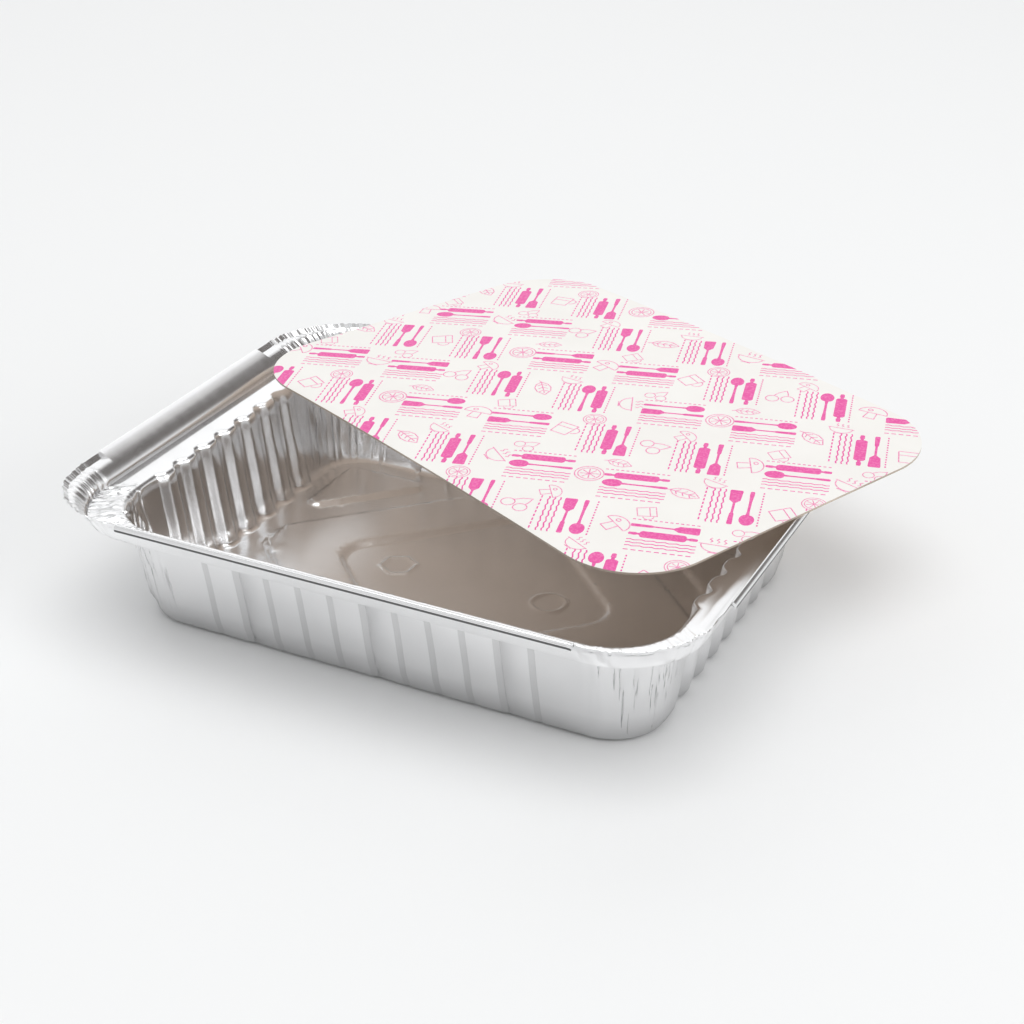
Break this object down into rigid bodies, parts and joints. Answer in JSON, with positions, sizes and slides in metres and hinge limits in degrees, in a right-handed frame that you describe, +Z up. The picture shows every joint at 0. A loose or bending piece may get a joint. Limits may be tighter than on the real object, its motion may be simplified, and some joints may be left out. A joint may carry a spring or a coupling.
{
  "type": "foil food tray with card lid",
  "caption": "Shallow rectangular takeaway tray of ribbed, pleated aluminium foil with a hemmed rim, and a loose printed card lid lying askew across its rim.",
  "frame": {"origin": "centre of the tray's base, on its underside", "axes": "+Z up out of the tray's mouth, +X along the long side to the right as seen from the front, +Y towards the back; the lid lies over the back right"},
  "size_m": [0.2074, 0.2053, 0.0434],
  "materials": {
    "foil": "bright rolled foil, half matt, with fine creases",
    "card": "coated off-white card with a pink print on top"
  },
  "bodies": {
    "root": {"tray": "foil", "lid": "card"}
  },
  "joints": []
}
